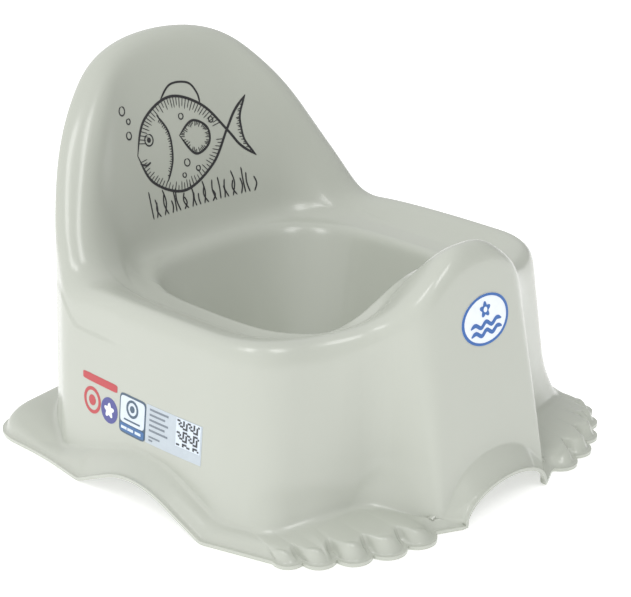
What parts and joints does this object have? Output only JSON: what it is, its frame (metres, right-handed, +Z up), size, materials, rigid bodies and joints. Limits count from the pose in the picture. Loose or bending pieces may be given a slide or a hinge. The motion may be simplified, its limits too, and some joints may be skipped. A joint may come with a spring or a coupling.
{
  "type": "potty training chair",
  "caption": "One-piece child's potty chair with an arched backrest, deep bowl, front splash guard and toed foot lobes, on rubber grip pads.",
  "frame": {"origin": "on the ground, under the middle of the bounding box", "axes": "+Z up, -Y the way the child faces, X from side to side"},
  "size_m": [0.2996, 0.296, 0.2266],
  "materials": {
    "pearl_plastic": "pearl grey, glossy moulded polypropylene",
    "grip_rubber": "matt soft rubber",
    "label_film": "satin printed film",
    "pictogram_film": "satin printed film",
    "print_ink": "black printed ink"
  },
  "bodies": {
    "root": {"potty_body": "pearl_plastic", "anti_slip_foot_front_left": "grip_rubber", "anti_slip_foot_front_right": "grip_rubber", "anti_slip_foot_rear_left": "grip_rubber", "anti_slip_foot_rear_right": "grip_rubber", "front_label": "label_film", "side_label_certificate": "label_film", "side_label_pictograms": "pictogram_film", "backrest_decal": "print_ink"}
  },
  "joints": []
}
